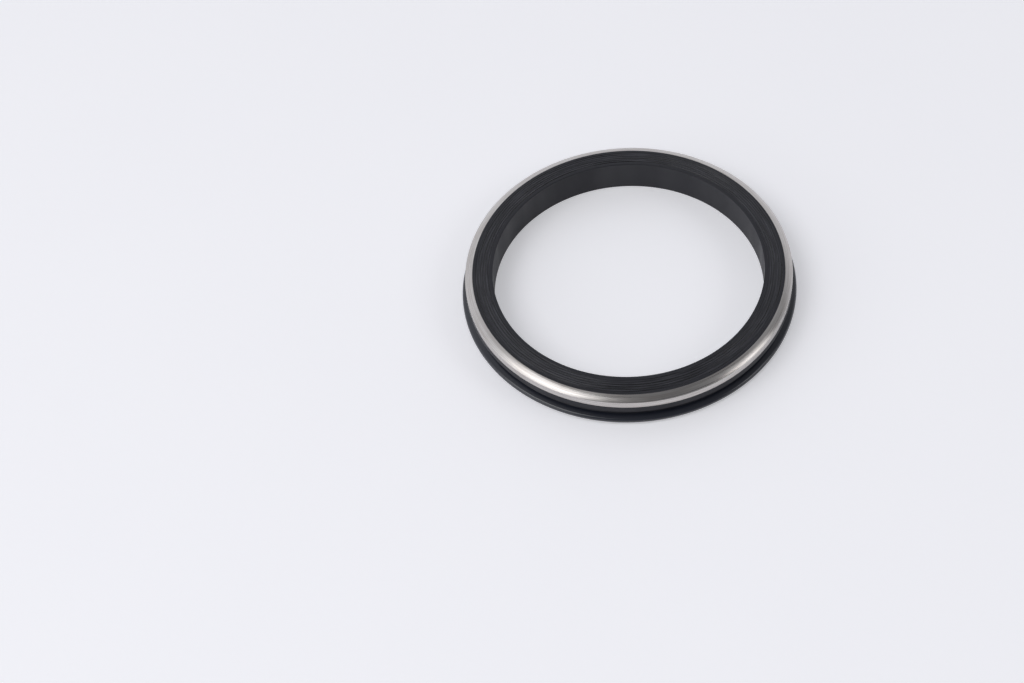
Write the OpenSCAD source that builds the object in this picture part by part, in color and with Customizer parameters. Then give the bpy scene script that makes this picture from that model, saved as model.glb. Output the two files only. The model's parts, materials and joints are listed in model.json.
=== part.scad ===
// Hammer union seal: a moulded rubber ring with a stainless ring bonded into its upper outer corner.
// Millimetres. The origin is the centre of the flat underside, and +Z runs up the bore.
// Every piece is turned from one section, so a section is drawn with X as radius and Y as height.

/* [Rubber ring] */
// Diameter of the bore
bore_d = 76.2; // [40:0.1:160]
// Height of the top face where its slope would meet the bore
ring_h = 9.65; // [8.4:0.05:14]
// Width of the rubber's top face, from the bore to the support ring
face_w = 5.75; // [4:0.05:10]
// How much lower the top face lies at the support ring than at the bore
face_fall = 0.4; // [0:0.05:0.8]
// Chamfer on the two edges of the bore
bore_chamfer = 0.2; // [0.05:0.05:0.6]

/* [Support ring] */
// Width of the stainless ring, from its bonded inner wall to its outer land
support_w = 2.1; // [1.2:0.05:3]
// Height of the stainless ring at its bonded inner wall
support_h = 3.05; // [2.4:0.05:4.4]
// Height of the plain outer land
land_h = 1.95; // [1:0.05:2.6]
// Radius of the crowned zone between the land and the rubber face
crown_r = 5; // [2.4:0.1:20]

/* [Bead and neck] */
// Thickness of the bead at the neck
bead_t = 2.4; // [2.2:0.05:3.4]
// How far the bead stands out past the outer wall
bead_proud = 1.25; // [0.4:0.05:1.8]
// Radius of the bead's rounded nose
nose_r = 0.85; // [0.5:0.05:1.1]
// Height of the middle of the nose
nose_z = 1.25; // [0.85:0.05:1.6]
// Width of the neck groove above the bead
neck_w = 1.7; // [0.6:0.05:2.2]
// How far inside the outer wall the middle of the neck lies
neck_inset = 0.5; // [0.2:0.05:0.9]

/* [Turned grooves] */
// Plain rubber between the bore and the middle of the first groove
groove_first = 1.25; // [0.9:0.05:2]
// Distance from one groove to the next
groove_pitch = 0.7; // [0.5:0.05:1.5]
// Width of a groove
groove_w = 0.4; // [0.3:0.05:0.45]
// Depth of the grooves between the first and the last
groove_depth = 0.1; // [0.02:0.01:0.12]
// Depth of the first and the last groove, which bound the grooved band
rim_groove_depth = 0.14; // [0.04:0.01:0.14]
// Least plain rubber left between the last groove and the support ring
outer_margin = 0.7; // [0.2:0.05:1.5]

/* [Hidden] */
$fn = 180;

// Radii, from the bore outwards. The support ring's land and the rubber below it are one flush outer wall
bore_r = bore_d / 2;
support_ri = bore_r + face_w;
wall_r = support_ri + support_w;
bead_ro = wall_r + bead_proud;

// The neck is a round groove, and the bead starts at its lowest point and slopes down to the nose
neck_x = wall_r - neck_inset;
neck_r = neck_w / 2;
neck_z = bead_t + neck_r;
wall_z = bead_t + neck_w;
nose_centre = [bead_ro - nose_r, nose_z];

// Heights of the support ring
support_top = ring_h - face_fall;
seat_z = support_top - support_h;
shoulder_z = seat_z + land_h;

// As many grooves as fit between the first one and the outer margin
groove_room = face_w - groove_first - groove_w / 2 - outer_margin;
groove_last = floor(groove_room / groove_pitch);

// Height of the top face at a radius
function face_z(r) = ring_h - face_fall * (r - bore_r) / face_w;

// Radius of the arc that is w wide and d deep
function arc_radius(w, d) = (pow(w / 2, 2) + pow(d, 2)) / (2 * d);

// Centre of the arc of radius r through p and q that bulges to the left of the way from p to q
function arc_centre(p, q, r) =
    let (chord = q - p, half = norm(chord) / 2, side = [chord[1], -chord[0]] / norm(chord))
    (p + q) / 2 + side * sqrt(r * r - half * half);

// Where a line from p touches the circle of radius r round c, left (side 1) or right (side -1) of the way to c
function touch_point(p, c, r, side) =
    let (way = c - p, far = norm(way), reach = sqrt(far * far - r * r), left = [-way[1], way[0]])
    p + reach * (reach * way + side * r * left) / (far * far);

// The rubber without its bead: bore, foot, wall, seat for the support ring and sloping top face
module core_section() {
    polygon([
        [bore_r, bore_chamfer],
        [bore_r + bore_chamfer, 0],
        [neck_x, 0],
        [neck_x, wall_z],
        [wall_r, wall_z],
        [wall_r, seat_z],
        [support_ri, seat_z],
        [support_ri, support_top],
        [bore_r + bore_chamfer, face_z(bore_r + bore_chamfer)],
        [bore_r, ring_h - bore_chamfer]
    ]);
}

// The round bottom of the neck groove
module neck_section() {
    translate([neck_x, neck_z]) circle(r = neck_r);
}

// The bead at the foot: two straight flanks that run from the neck and the underside into the round nose
module bead_section() {
    root_top = [neck_x, bead_t];
    root_foot = [neck_x, 0];
    polygon([
        root_foot,
        touch_point(root_foot, nose_centre, nose_r, -1),
        nose_centre,
        touch_point(root_top, nose_centre, nose_r, 1),
        root_top
    ]);
    translate(nose_centre) circle(r = nose_r);
}

// One turned groove in the top face: a shallow arc at radius r, cut from a centre above the face
module groove_section(r, depth) {
    cut_r = arc_radius(groove_w, depth);
    translate([r, face_z(r) + cut_r - depth]) circle(r = cut_r);
}

// All the turned grooves, the first and the last of them deeper
module groove_sections() {
    for (i = [0 : 1 : groove_last]) {
        is_rim = i == 0 || i == groove_last;
        groove_section(bore_r + groove_first + i * groove_pitch, is_rim ? rim_groove_depth : groove_depth);
    }
}

// The stainless ring: a plain block up to the line from the shoulder to the inner edge, and a crown on it
module support_section() {
    inner_edge = [support_ri, support_top];
    shoulder = [wall_r, shoulder_z];
    polygon([[support_ri, seat_z], [wall_r, seat_z], shoulder, inner_edge]);
    intersection() {
        polygon([inner_edge, shoulder, [wall_r, support_top]]);
        translate(arc_centre(inner_edge, shoulder, crown_r)) circle(r = crown_r);
    }
}

// The moulded rubber ring
module seal_body() {
    color([0.13, 0.135, 0.145])
    rotate_extrude() {
        difference() {
            core_section();
            neck_section();
            groove_sections();
        }
        bead_section();
    }
}

// The stainless anti-extrusion ring, bonded to the rubber below and inside it
module support_ring() {
    color([0.72, 0.70, 0.68])
    rotate_extrude() support_section();
}

seal_body();
support_ring();
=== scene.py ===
# %% [markdown]
# # A union seal, drawn as two sections and turned
#
# The object is the face seal of a hammer union: a moulded rubber ring with a stainless ring bonded into
# its upper outer corner. Both are bodies of revolution, so each could be shaped from a cylinder by insets
# and extrusions, or turned from a drawn section. We turn them, because the section holds all of the form:
# bead, neck, crown and the fine grooves of the top face. First we load the frame, which says where the
# two pieces are. Whatever is loaded stays where it is, and what we model goes over it.

# %% Load the frame
import json
import math

import bmesh
import bpy
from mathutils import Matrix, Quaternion, Vector


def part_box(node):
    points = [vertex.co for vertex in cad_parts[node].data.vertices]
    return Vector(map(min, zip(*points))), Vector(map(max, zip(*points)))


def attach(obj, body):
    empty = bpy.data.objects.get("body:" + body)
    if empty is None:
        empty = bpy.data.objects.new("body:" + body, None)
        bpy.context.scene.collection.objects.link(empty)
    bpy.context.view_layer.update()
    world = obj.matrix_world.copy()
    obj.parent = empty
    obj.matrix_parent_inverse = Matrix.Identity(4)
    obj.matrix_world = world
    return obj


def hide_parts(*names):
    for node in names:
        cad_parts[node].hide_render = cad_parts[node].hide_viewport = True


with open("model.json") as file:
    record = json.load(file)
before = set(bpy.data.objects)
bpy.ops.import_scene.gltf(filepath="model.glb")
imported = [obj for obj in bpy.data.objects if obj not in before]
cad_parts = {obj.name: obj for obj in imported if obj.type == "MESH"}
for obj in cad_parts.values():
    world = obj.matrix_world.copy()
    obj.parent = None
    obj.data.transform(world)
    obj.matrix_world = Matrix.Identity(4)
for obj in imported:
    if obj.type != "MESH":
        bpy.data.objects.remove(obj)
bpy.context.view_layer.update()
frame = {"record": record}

MM = 0.001

# %% [markdown]
# ## Sizes of the section
#
# The bore and the outer wall are mounts, so the record gives their radii, and the boxes of the two nodes
# give the heights. The few sizes that no box or mount gives are written here once, as a maker would read
# them off a drawing.

# %% Read the sizes
mounts = {mount["name"]: mount for mount in frame["record"]["mounts"]}


def radius_of(mount):
    """The radius of a round mount, in metres."""
    return mounts[mount]["dims"]["r_mm"] * MM


def ends_of(mount):
    """The lowest and highest point of a mount that stands upright."""
    middle = mounts[mount]["pos_m"][2]
    half = mounts[mount]["dims"]["length_mm"] * MM / 2
    return middle - half, middle + half


rubber_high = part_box("seal_body")[1]
steel_low, steel_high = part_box("support_ring")

bore_r = radius_of("bore")
wall_r = radius_of("outer_wall")
neck_top, shoulder_z = ends_of("outer_wall")
bead_ro = min(rubber_high.x, rubber_high.y)
seat_z = steel_low.z
steel_top = steel_high.z

support_w = 2.1 * MM
neck_w = 1.7 * MM
neck_inset = 0.5 * MM
nose_r = 0.85 * MM
nose_z = 1.25 * MM
bore_edge = 0.2 * MM

support_ri = wall_r - support_w
neck_x = wall_r - neck_inset
bead_t = neck_top - neck_w
nose_x = bead_ro - nose_r
print("radii in mm: bore", bore_r / MM, "wall", wall_r / MM, "bead", round(bead_ro / MM, 3))
print("bead", round(bead_t / MM, 3), "mm thick")

# %% [markdown]
# ## The camera
#
# The seal is seen from above at a little over fifty degrees, with a short telephoto lens, a touch off
# level. The camera is made early, so that every later step can be looked at as it will be seen. It is
# placed by its height and distance, aimed at a point on the floor, and rolled about its own line of sight.

# %% Camera
camera_place = Vector((0, -396.5, 500.5)) * MM
camera_aim = Vector((-33.2, -17.4, 0)) * MM
camera_roll = math.radians(-6.21)

camera_data = bpy.data.cameras.new("camera")
camera_data.lens = 79.0
camera_data.sensor_width = 36.0
camera_data.clip_start = 0.01
camera = bpy.data.objects.new("camera", camera_data)
bpy.context.scene.collection.objects.link(camera)
camera.location = camera_place
camera.rotation_mode = "QUATERNION"
line_of_sight = (camera_aim - camera_place).to_track_quat("-Z", "Y")
camera.rotation_quaternion = line_of_sight @ Quaternion((0, 0, 1), camera_roll)
bpy.context.scene.camera = camera
print("camera", round((camera_aim - camera_place).length / MM), "mm from its aim")

# %% [markdown]
# ## A pen for sections
#
# A section is drawn as a chain of edges in the XZ plane, where X is the radius and Z the height. The last
# point of the chain is the selected one. Extrude takes it on in a straight line, and Spin takes it round
# an arc, so those two operators are all the pen there is. An arc is given as a draughtsman gives it, by
# its far end and by how far it bulges from the straight line between its ends.

# %% Selecting points
def deselect_everything():
    """Leaves object mode as the next step expects it, with nothing selected."""
    if bpy.context.mode != "OBJECT":
        bpy.ops.object.mode_set(mode="OBJECT")
    bpy.ops.object.select_all(action="DESELECT")


def start_editing(piece):
    """Opens a new primitive for editing points, with its place written into its mesh."""
    bpy.ops.object.transform_apply(location=True, rotation=True, scale=True)
    bpy.ops.object.mode_set(mode="EDIT")
    bpy.ops.mesh.select_mode(type="VERT")
    return piece


def select_points(piece, wanted):
    """Selects the points that wanted(x, z) picks, and no others."""
    shape = bmesh.from_edit_mesh(piece.data)
    for point in shape.verts:
        point.select_set(wanted(point.co.x, point.co.z))
    shape.select_flush_mode()
    bmesh.update_edit_mesh(piece.data)


def put_pen_at(piece, *places):
    """Selects the one point nearest to each (x, z) place."""
    shape = bmesh.from_edit_mesh(piece.data)
    chosen = [min(shape.verts, key=lambda p: math.hypot(p.co.x - x, p.co.z - z)) for x, z in places]
    for point in shape.verts:
        point.select_set(False)
    for point in chosen:
        point.select_set(True)
    shape.select_flush_mode()
    bmesh.update_edit_mesh(piece.data)


# %% The pen
def pen_place(piece):
    """Where the selected end of the chain is."""
    tip = next(point for point in bmesh.from_edit_mesh(piece.data).verts if point.select)
    return tip.co.x, tip.co.z


def line_to(piece, x, z):
    """Draws a straight stretch."""
    from_x, from_z = pen_place(piece)
    bpy.ops.mesh.extrude_region_move(TRANSFORM_OT_translate={"value": (x - from_x, 0, z - from_z)})


def arc_to(piece, x, z, bulge, steps):
    """Draws an arc that bulges to the left of its way, or to the right where bulge is negative."""
    from_x, from_z = pen_place(piece)
    way = Vector((x - from_x, z - from_z))
    half = way.length / 2
    radius = (half**2 + bulge**2) / (2 * abs(bulge))
    side = math.copysign(1, bulge)
    to_right = Vector((way.y, -way.x)).normalized() * side
    centre = Vector((from_x, from_z)) + way / 2 + to_right * (radius - abs(bulge))
    turn = 2 * math.asin(min(1, half / radius)) * side
    bpy.ops.mesh.spin(steps=steps, angle=turn, center=(centre.x, 0, centre.y), axis=(0, -1, 0))


def round_corner(piece, x, z, size, segments):
    """Rounds the corner of the section at (x, z)."""
    put_pen_at(piece, (x, z))
    bpy.ops.mesh.bevel(offset=size, segments=segments, affect="VERTICES")


# %% [markdown]
# ## Section of the rubber
#
# The bead at the foot has a round nose between two flanks, so the drawing starts from a circle at the
# nose's size and place. Only its outer part is kept, between the two points where the flanks touch it. From
# the upper one the pen goes up the flank, round the neck groove, out under the support ring, up and in
# round its seat, and then inwards along the top face.

# %% Nose, neck and seat
NOSE_POINTS = 72
NECK_STEPS = 16


def touch_point(x, z, side):
    """Where a line from (x, z) touches the nose, on its upper side (1) or its lower side (-1)."""
    way = Vector((nose_x - x, nose_z - z))
    reach = math.sqrt(way.length**2 - nose_r**2)
    left = Vector((-way.y, way.x))
    return Vector((x, z)) + (way * reach + left * nose_r * side) * reach / way.length**2


upper_touch = touch_point(neck_x, bead_t, 1)
lower_touch = touch_point(neck_x, 0, -1)
chord = upper_touch - lower_touch
hair = 0.001 * MM


def inside_chord(x, z):
    """Whether a place lies inwards of the line between the two touch points, by more than a hair."""
    return (x - lower_touch.x) * chord.y < (z - lower_touch.y) * chord.x + hair * chord.length


deselect_everything()
bpy.ops.mesh.primitive_circle_add(
    vertices=NOSE_POINTS, radius=nose_r, location=(nose_x, 0, nose_z), rotation=(math.pi / 2, 0, 0)
)
rubber = start_editing(bpy.context.object)
rubber.name = rubber.data.name = "rubber_ring"
select_points(rubber, inside_chord)
bpy.ops.mesh.delete(type="VERT")

put_pen_at(rubber, upper_touch)
line_to(rubber, neck_x, bead_t)
arc_to(rubber, neck_x, neck_top, neck_w / 2, NECK_STEPS)
line_to(rubber, wall_r, neck_top)
line_to(rubber, wall_r, seat_z)
line_to(rubber, support_ri, seat_z)
line_to(rubber, support_ri, steel_top)
print("points so far:", len(bmesh.from_edit_mesh(rubber.data).verts))

# %% [markdown]
# ## The grooved face
#
# The face that seals carries six fine turned grooves, like those of a record. They could be a bump in the
# material, but they catch the light on their walls, so they are drawn as scoops in the section. The face
# falls a little from the bore outwards, and the first and last groove are the deepest.

# %% Grooves and bore
GROOVE_STEPS = 8
groove_first = 1.25 * MM
groove_pitch = 0.7 * MM
groove_count = 6
groove_w = 0.4 * MM
groove_depth = 0.1 * MM
rim_groove_depth = 0.14 * MM

face_slope = (rubber_high.z - steel_top) / (support_ri - bore_r - bore_edge)


def face_z(r):
    """Height of the sealing face at a radius."""
    return steel_top + face_slope * (support_ri - r)


for i in reversed(range(groove_count)):
    middle = bore_r + groove_first + i * groove_pitch
    outer, inner = middle + groove_w / 2, middle - groove_w / 2
    depth = rim_groove_depth if i in (0, groove_count - 1) else groove_depth
    line_to(rubber, outer, face_z(outer))
    arc_to(rubber, inner, face_z(inner), depth, GROOVE_STEPS)
line_to(rubber, bore_r, face_z(bore_r))
line_to(rubber, bore_r, 0)

line_to(rubber, neck_x, 0)
put_pen_at(rubber, (neck_x, 0), lower_touch)
bpy.ops.mesh.edge_face_add()

NECK_EDGE = 0.12 * MM
EDGE_STEPS = 5
round_corner(rubber, bore_r, face_z(bore_r), bore_edge, EDGE_STEPS)
round_corner(rubber, bore_r, 0, bore_edge, EDGE_STEPS)
round_corner(rubber, wall_r, neck_top, NECK_EDGE, EDGE_STEPS)
print("section of the rubber:", len(bmesh.from_edit_mesh(rubber.data).verts), "points")

# %% [markdown]
# ## Turning a section
#
# Spin takes the closed section once round the bore's axis. Its last copy lies on the first, so doubles are
# merged, and after that the normals are made to point outwards. Smoothing by angle keeps the groove rims
# and other true edges crisp, and a weighted normal keeps flat bands flat right up to their rounded edges.

# %% Turn the rubber
TURN_STEPS = 480
CRISP_ANGLE = math.radians(32)


def turn(piece):
    """Turns the drawn section once round the bore, and finishes the surface."""
    bpy.ops.mesh.select_all(action="SELECT")
    bpy.ops.mesh.spin(steps=TURN_STEPS, angle=2 * math.pi, center=(0, 0, 0), axis=(0, 0, 1))
    bpy.ops.mesh.select_all(action="SELECT")
    bpy.ops.mesh.remove_doubles(threshold=hair)
    bpy.ops.mesh.normals_make_consistent(inside=False)
    bpy.ops.object.mode_set(mode="OBJECT")
    bpy.ops.object.shade_smooth_by_angle(angle=CRISP_ANGLE)
    flatten = piece.modifiers.new("flat_bands", "WEIGHTED_NORMAL")
    flatten.keep_sharp = True
    bpy.ops.object.modifier_apply(modifier=flatten.name)
    print(piece.name, 2 * len(piece.data.polygons), "triangles")


turn(rubber)

# %% [markdown]
# ## The support ring
#
# The stainless ring keeps the rubber from creeping out under pressure. Its section is a small block with a
# crowned top, so it starts from a plane at the block's size. The plane's face goes, its inner top corner is
# lifted to the sealing face, and the pen draws the crown back to it from the shoulder.

# %% Draw and turn the support ring
CROWN_STEPS = 20
crown_r = 5.0 * MM
FOOT_EDGE = 0.04 * MM
SHOULDER_EDGE = 0.12 * MM

deselect_everything()
block_w, block_h = wall_r - support_ri, shoulder_z - seat_z
bpy.ops.mesh.primitive_plane_add(
    size=1, location=((support_ri + wall_r) / 2, 0, (seat_z + shoulder_z) / 2), rotation=(math.pi / 2, 0, 0)
)
bpy.context.object.scale = (block_w, block_h, 1)
steel = start_editing(bpy.context.object)
steel.name = steel.data.name = "steel_ring"
bpy.ops.mesh.select_all(action="SELECT")
bpy.ops.mesh.delete(type="ONLY_FACE")

put_pen_at(steel, (support_ri, shoulder_z))
bpy.ops.transform.translate(value=(0, 0, steel_top - shoulder_z))
put_pen_at(steel, (support_ri, steel_top), (wall_r, shoulder_z))
bpy.ops.mesh.select_mode(type="EDGE")
bpy.ops.mesh.delete(type="EDGE")
bpy.ops.mesh.select_mode(type="VERT")

crown_half = math.hypot(support_w, steel_top - shoulder_z) / 2
crown_rise = crown_r - math.sqrt(crown_r**2 - crown_half**2)
put_pen_at(steel, (wall_r, shoulder_z))
arc_to(steel, support_ri, steel_top, -crown_rise, CROWN_STEPS)
bpy.ops.mesh.select_all(action="SELECT")
bpy.ops.mesh.remove_doubles(threshold=hair)
round_corner(steel, wall_r, shoulder_z, SHOULDER_EDGE, EDGE_STEPS)
round_corner(steel, wall_r, seat_z, FOOT_EDGE, EDGE_STEPS)
print("section of the steel:", len(bmesh.from_edit_mesh(steel.data).verts), "points")
turn(steel)

# %% [markdown]
# ## A shorthand for nodes
#
# A finish is a tree of nodes, and most of its branches are a noise, a sum, or a blend of two colours. The
# nodes could be made and wired one by one. Here a small function makes each kind, wires its inputs and hands
# back its output, because a finish then reads like a recipe.

# %% Node helpers
def new_material(name):
    """A material with its Principled shader, and its node tree."""
    material = bpy.data.materials.new(name)
    material.use_nodes = True
    tree = material.node_tree
    return material, tree, tree.nodes["Principled BSDF"]


def wire(tree, source, target):
    """Plugs a value, a colour or another node's output into a socket."""
    if isinstance(source, bpy.types.NodeSocket):
        tree.links.new(source, target)
    else:
        target.default_value = source


def maths(tree, operation, a, b=0.0):
    """One Math node."""
    node = tree.nodes.new("ShaderNodeMath")
    node.operation = operation
    wire(tree, a, node.inputs[0])
    wire(tree, b, node.inputs[1])
    return node.outputs[0]


def ramp(tree, value, low, high, to_low=0.0, to_high=1.0):
    """Takes a value from the range low to high into another range, smoothly and without overshoot."""
    node = tree.nodes.new("ShaderNodeMapRange")
    node.interpolation_type = "SMOOTHSTEP"
    wire(tree, value, node.inputs["Value"])
    for socket, number in (("From Min", low), ("From Max", high), ("To Min", to_low), ("To Max", to_high)):
        node.inputs[socket].default_value = number
    return node.outputs["Result"]


def spread(tree, value, to_low=0.0, to_high=1.0):
    """Takes a noise, most of which lies between 0.3 and 0.7, into the whole of another range."""
    return ramp(tree, value, 0.3, 0.7, to_low, to_high)


def noise(tree, vector, scale, detail=2.0, roughness=0.5):
    """A Noise texture's value, from 0 to 1."""
    node = tree.nodes.new("ShaderNodeTexNoise")
    wire(tree, vector, node.inputs["Vector"])
    node.inputs["Scale"].default_value = scale
    node.inputs["Detail"].default_value = detail
    node.inputs["Roughness"].default_value = roughness
    return node.outputs["Fac"]


def blend(tree, amount, a, b, kind="RGBA"):
    """A colour between a and b, or a number where kind is FLOAT."""
    node = tree.nodes.new("ShaderNodeMix")
    node.data_type = kind
    wire(tree, amount, node.inputs["Factor"])
    wire(tree, a, node.inputs["A"])
    wire(tree, b, node.inputs["B"])
    return node.outputs["Result"]


def bump(tree, height, distance, under=None):
    """A Bump node over another, with its height in metres."""
    node = tree.nodes.new("ShaderNodeBump")
    node.inputs["Distance"].default_value = distance
    wire(tree, height, node.inputs["Height"])
    if under:
        wire(tree, under, node.inputs["Normal"])
    return node.outputs["Normal"]


# %% [markdown]
# ## Coordinates that run round the ring
#
# Everything on this seal was turned or moulded in the round, so its marks run round it too. A pattern in
# plain Object coordinates would run straight across. So a small group works out the radius from X and Y,
# and gives a vector whose first two parts go once round a circle and whose third part crosses the marks.
# Noise read there is stretched along the turning, with no seam where the angle starts again.

# %% Ring coordinates
def ring_space(tree):
    """The piece's own coordinates, its radius, its height and the direction round the bore."""
    place = tree.nodes.new("ShaderNodeTexCoord").outputs["Object"]
    split = tree.nodes.new("ShaderNodeSeparateXYZ")
    wire(tree, place, split.inputs[0])
    x, y, z = split.outputs
    square = maths(tree, "ADD", maths(tree, "MULTIPLY", x, x), maths(tree, "MULTIPLY", y, y))
    radius = maths(tree, "SQRT", square)
    return place, radius, z, (maths(tree, "DIVIDE", x, radius), maths(tree, "DIVIDE", y, radius))


def round_the_ring(tree, direction, across, marks, line_w):
    """A vector in which noise makes lines of width line_w, broken about 6 * marks times a turn."""
    join = tree.nodes.new("ShaderNodeCombineXYZ")
    wire(tree, maths(tree, "MULTIPLY", direction[0], marks), join.inputs[0])
    wire(tree, maths(tree, "MULTIPLY", direction[1], marks), join.inputs[1])
    wire(tree, maths(tree, "DIVIDE", across, line_w), join.inputs[2])
    return join.outputs[0]


# %% [markdown]
# ## Where each finish lies
#
# One material covers all of the rubber, so masks say where each finish is. They come from height and
# radius, by the same sizes that the section was drawn with, so they follow it if a size changes. The
# grooves are found by folding the radius to and fro once a pitch, and noise that runs round the ring
# weakens their mask here and there, which breaks up the painted groove shade and their smoother finish.

# %% Masks of face and bead
FACE_REACH = 0.15 * MM
FACE_FADE = 0.1 * MM
BEAD_FADE = 0.4 * MM

rubber_look, tree, shader = new_material("moulded_rubber")
place, radius, height, direction = ring_space(tree)

# The mask of the face reaches a little below its outer edge, so that the deepest groove is in it too
face_bottom = face_z(support_ri) - FACE_REACH
on_face = ramp(tree, height, face_bottom - FACE_FADE, face_bottom)
on_bead = ramp(tree, height, neck_top, neck_top - BEAD_FADE)
on_outside = ramp(tree, radius, neck_x - neck_w / 2, neck_x)
on_smooth_bead = maths(tree, "MULTIPLY", on_bead, on_outside)

# %% Masks of the grooves
BAND_REACH = 0.45
BAND_FADE = 0.1
OUTSIDE_RIM = 0.34
INSIDE_RIM = 0.20
GROOVE_BREAK_W = 0.4 * MM

# Counted in pitches, the grooved band reaches a little past the middle of its first and last groove
last_groove = groove_count - 1
pitches = maths(tree, "DIVIDE", maths(tree, "SUBTRACT", radius, bore_r + groove_first), groove_pitch)
after_first = ramp(tree, pitches, -BAND_REACH, BAND_FADE - BAND_REACH)
before_last = ramp(tree, pitches, last_groove + BAND_REACH, last_groove + BAND_REACH - BAND_FADE)
in_band = maths(tree, "MULTIPLY", maths(tree, "MULTIPLY", after_first, before_last), on_face)

# Counted in pitches from a groove's middle, its mask starts outside the rim and is whole inside it
off_groove = maths(tree, "PINGPONG", pitches, 0.5)
groove = maths(tree, "MULTIPLY", ramp(tree, off_groove, OUTSIDE_RIM, INSIDE_RIM), in_band)
groove_breaks = noise(tree, round_the_ring(tree, direction, radius, 2.2, GROOVE_BREAK_W), 1.0, detail=3.0)
in_groove = maths(tree, "MULTIPLY", groove, ramp(tree, groove_breaks, 0.35, 0.65, 0.25, 1.0))
print("rubber masks:", len(tree.nodes), "nodes")

# %% [markdown]
# ## Rubber
#
# The rubber is a black compound, most likely nitrile. Straight from the mould its bead is smooth and shows a
# soft, bluish highlight, while the sealing face and the bore are duller. What makes black rubber look grey
# in the light is its broad, weak shine, so its colour stays dark, with clouds so faint that they only stop
# it from looking flat. The bead's bluish black is raised a little, as painted light on its shaded neck and
# flank. The grooves are smoother, and painted shade darkens them in the colour. Between them, turning has
# left paler streaks. The streaks could be painted along circles, but noise in the ring's coordinates gives
# them for nothing.

# %% Colour of the rubber
CLOUD_SIZE = 14 * MM
TURNING_W = 0.16 * MM
FACE_BLACKS = (0.0150, 0.0154, 0.0210, 1), (0.0225, 0.0230, 0.0300, 1)
# Bluish black of the bead, partly its own tone and partly painted light that lifts its shaded neck and flank
BEAD_BLACKS_AND_PAINTED_LIGHT = (0.016, 0.019, 0.029, 1), (0.020, 0.023, 0.034, 1)
STREAK_GREY = (0.062, 0.063, 0.076, 1)
# Painted shade for the grooves, not a colour of the rubber itself
GROOVE_PAINTED_SHADE = (0.001, 0.001, 0.002, 1)

clouds = noise(tree, place, 1 / CLOUD_SIZE, detail=4.0, roughness=0.6)
fine_turning = noise(tree, round_the_ring(tree, direction, radius, 5.0, TURNING_W), 1.0, detail=2.0)
streaks = maths(tree, "MULTIPLY", ramp(tree, fine_turning, 0.42, 0.66), in_band)

ridges = blend(tree, streaks, blend(tree, clouds, *FACE_BLACKS), STREAK_GREY)
# Painted shade: the grooves' colour is darkened nearly to black, as shade in the recesses
face_colour = blend(tree, in_groove, ridges, GROOVE_PAINTED_SHADE)
# Partly painted light: the bead's colour is raised above the rubber's own black, so the shaded neck and
# flank look less dark
bead_colour = blend(tree, clouds, *BEAD_BLACKS_AND_PAINTED_LIGHT)
wire(tree, blend(tree, on_smooth_bead, face_colour, bead_colour), shader.inputs["Base Color"])

# %% Surface of the rubber
GRAIN_SIZE = 0.25 * MM
GRAIN_DEPTH = 0.004 * MM
TURNING_DEPTH = 0.020 * MM
GROOVE_SMOOTHER = 0.34
BEAD_SHINIER = 0.36

dull = maths(tree, "ADD", spread(tree, clouds, 0.50, 0.58), spread(tree, fine_turning, -0.06, 0.06))
dull = maths(tree, "SUBTRACT", dull, maths(tree, "MULTIPLY", in_groove, GROOVE_SMOOTHER))
smooth = spread(tree, clouds, 0.17, 0.22)
wire(tree, blend(tree, on_smooth_bead, dull, smooth, "FLOAT"), shader.inputs["Roughness"])

shine = ramp(tree, in_groove, 0.0, 1.0, 0.42, 0.6)
shine = maths(tree, "ADD", shine, maths(tree, "MULTIPLY", on_smooth_bead, BEAD_SHINIER))
wire(tree, shine, shader.inputs["Specular IOR Level"])

grain = noise(tree, place, 1 / GRAIN_SIZE, detail=3.0)
turning_marks = bump(tree, maths(tree, "MULTIPLY", fine_turning, on_face), TURNING_DEPTH)
wire(tree, bump(tree, grain, GRAIN_DEPTH, under=turning_marks), shader.inputs["Normal"])
print("rubber material:", len(tree.nodes), "nodes")

# %% [markdown]
# ## Stainless steel
#
# The ring was turned and lightly polished, so the tool's lines run round it. They spread a highlight across
# the ring and keep it short along the ring, which is what the anisotropic setting does. Its rotation of a
# quarter turn puts the spread across the lines. The lines also vary a little in shade and in depth, the
# land is smoother than the crown, and handling has left it slightly brown in places.

# %% Colour of the steel
LINE_W = 0.22 * MM
STAIN_SIZE = 9 * MM
STEEL_GREYS = (0.50, 0.466, 0.446, 1), (0.70, 0.681, 0.663, 1)
STAIN_BROWN = (0.50, 0.46, 0.42, 1)

steel_look, tree, shader = new_material("turned_stainless")
place, radius, height, direction = ring_space(tree)

# Radius less height grows all the way over the crown and down the land, so it crosses the lines on both
across = maths(tree, "SUBTRACT", radius, height)
lines = noise(tree, round_the_ring(tree, direction, across, 3.0, LINE_W), 1.0, detail=3.0, roughness=0.6)
stains = noise(tree, place, 1 / STAIN_SIZE, detail=3.0)

clean = blend(tree, spread(tree, lines), *STEEL_GREYS)
stained = ramp(tree, stains, 0.45, 0.75, 0.0, 0.35)
wire(tree, blend(tree, stained, clean, STAIN_BROWN), shader.inputs["Base Color"])

# %% Surface of the steel
BAND_W = 0.55 * MM
LINE_DEPTH = 0.006 * MM
SHOULDER_FADE = 0.1 * MM
LAND_SHARE = 0.7
QUARTER_TURN = 0.25

shader.inputs["Metallic"].default_value = 1.0
shader.inputs["Anisotropic"].default_value = 0.55
shader.inputs["Anisotropic Rotation"].default_value = QUARTER_TURN

bands = noise(tree, round_the_ring(tree, direction, across, 1.6, BAND_W), 1.0, detail=1.0)
share = ramp(tree, height, shoulder_z - SHOULDER_FADE, shoulder_z + SHOULDER_FADE, LAND_SHARE, 1.0)
satin = maths(tree, "MULTIPLY", spread(tree, bands, 0.27, 0.36), share)
wire(tree, satin, shader.inputs["Roughness"])
wire(tree, bump(tree, lines, LINE_DEPTH), shader.inputs["Normal"])
print("steel material:", len(tree.nodes), "nodes")

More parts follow.
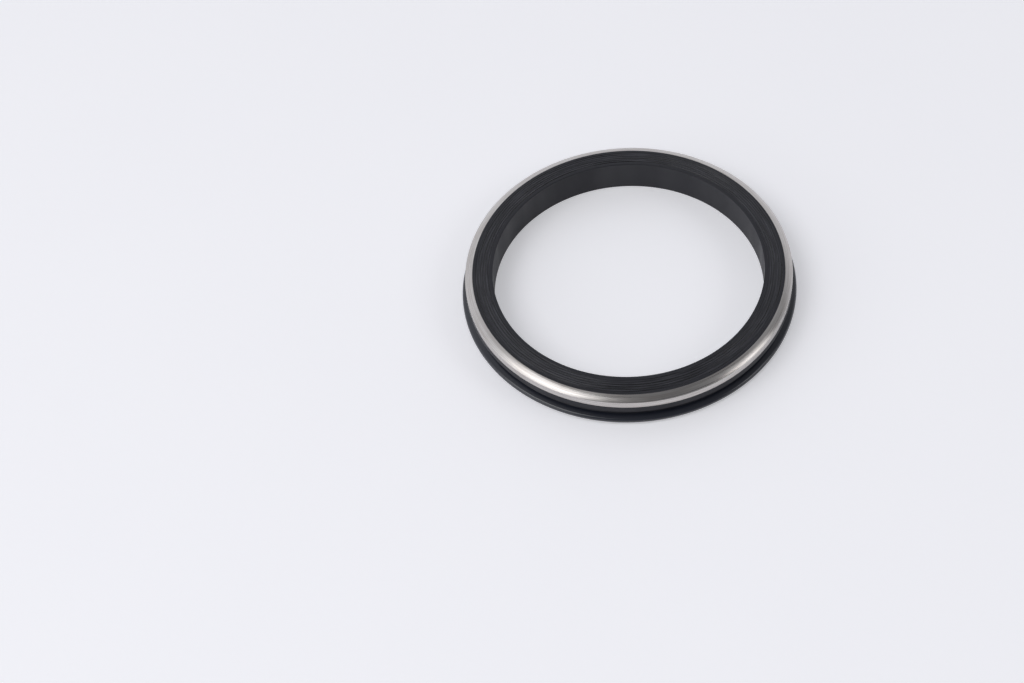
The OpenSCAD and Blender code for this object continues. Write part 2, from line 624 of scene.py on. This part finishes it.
# %% [markdown]
# ## Dressing the pieces
#
# Each turned piece takes its finish, stands for the plain node of the same form, which is hidden, and rides
# with the one body of the part.

# %% Dress
for piece, look, node, slot in (
    (rubber, rubber_look, "seal_body", "seal_rubber"),
    (steel, steel_look, "support_ring", "stainless"),
):
    piece.data.materials.clear()
    piece.data.materials.append(look)
    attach(piece, "root")
    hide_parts(node)
    print(piece.name, "stands for", node)

# %% [markdown]
# ## Floor
#
# A wide sheet of pale, slightly bluish paper, which carries the soft shadow under the bead. It lies a hair
# below the seal, so that no two faces share one height. Brighter lamps could make the paper as pale as it is
# seen, but they would wash out the rubber. So it has a little glow, only for the rays that come from the
# camera, a mirror or a clear piece, and the glow sheds no light on the seal.

# %% Floor
FLOOR_SIZE = 12.0
FLOOR_Z = -0.01 * MM
MOTTLE_SIZE = 60 * MM
PAPER_WHITES = (0.85, 0.85, 0.895, 1), (0.87, 0.87, 0.91, 1)
GLOW_WHITE = (0.98, 0.98, 1.0, 1)
GLOW = 0.325

deselect_everything()
bpy.ops.mesh.primitive_plane_add(size=FLOOR_SIZE, location=(0, 0, FLOOR_Z))
floor = bpy.context.object
floor.name = "floor"

paper, tree, shader = new_material("pale_paper")
mottle = noise(tree, tree.nodes.new("ShaderNodeTexCoord").outputs["Object"], 1 / MOTTLE_SIZE, detail=2.0)
wire(tree, blend(tree, mottle, *PAPER_WHITES), shader.inputs["Base Color"])
shader.inputs["Roughness"].default_value = 0.9
shader.inputs["Specular IOR Level"].default_value = 0.1

path = tree.nodes.new("ShaderNodeLightPath")
seen = maths(tree, "ADD", path.outputs["Is Camera Ray"], path.outputs["Is Glossy Ray"])
seen = maths(tree, "ADD", seen, path.outputs["Is Transmission Ray"])
shader.inputs["Emission Color"].default_value = GLOW_WHITE
wire(tree, maths(tree, "MULTIPLY", seen, GLOW), shader.inputs["Emission Strength"])
floor.data.materials.append(paper)
print("floor:", FLOOR_SIZE, "m square")

# %% [markdown]
# ## Light
#
# A pale room with a dim ceiling, and three soft boxes. The big one stands to the left and towards the
# camera, a wide, weak one near the floor on that side lights the wall and the bead, and a small one stands
# to the right. Steel shows its light as two bright stretches on the crown with darker metal between them,
# so each box is placed by the direction that the crown must mirror. A box's strength is given as how bright
# its face is, where 1 is white.

# %% Soft boxes
def soft_box(name, azimuth, elevation, distance, width, height, brightness):
    """A rectangular lamp that looks at the seal, in degrees and metres, with azimuth 0 along +X."""
    data = bpy.data.lights.new(name, "AREA")
    data.shape = "RECTANGLE"
    data.size, data.size_y = width, height
    data.energy = brightness * math.pi * width * height
    lamp = bpy.data.objects.new(name, data)
    bpy.context.scene.collection.objects.link(lamp)
    azimuth, elevation = math.radians(azimuth), math.radians(elevation)
    level = math.cos(elevation)
    direction = Vector((math.cos(azimuth) * level, math.sin(azimuth) * level, math.sin(elevation)))
    lamp.location = direction * distance
    lamp.rotation_mode = "QUATERNION"
    lamp.rotation_quaternion = direction.to_track_quat("Z", "Y")


soft_box("key_box", -151.5, 53, 1.2, 0.82, 0.7, 2.08)
soft_box("side_box", -12, 35, 1.2, 0.5, 0.5, 1.95)
soft_box("low_box", -150, 14, 1.2, 1.0, 0.4, 0.8)

# %% Room
TOWARDS_CEILING = (0.38, -0.6, 1.0)
WALL_COLOUR = (0.75, 0.76, 0.80, 1)
CEILING_COLOUR = (0.16, 0.162, 0.17, 1)

world = bpy.data.worlds.new("pale_room")
world.use_nodes = True
bpy.context.scene.world = world
tree = world.node_tree
upwards = tree.nodes.new("ShaderNodeVectorMath")
upwards.operation = "DOT_PRODUCT"
wire(tree, tree.nodes.new("ShaderNodeTexCoord").outputs["Generated"], upwards.inputs[0])
wire(tree, TOWARDS_CEILING, upwards.inputs[1])
shade = ramp(tree, upwards.outputs["Value"], 0.05, 0.9)
room = blend(tree, shade, WALL_COLOUR, CEILING_COLOUR)
wire(tree, room, tree.nodes["Background"].inputs["Color"])
bpy.context.scene.view_settings.view_transform = "Standard"
print("room:", len(tree.nodes), "nodes")
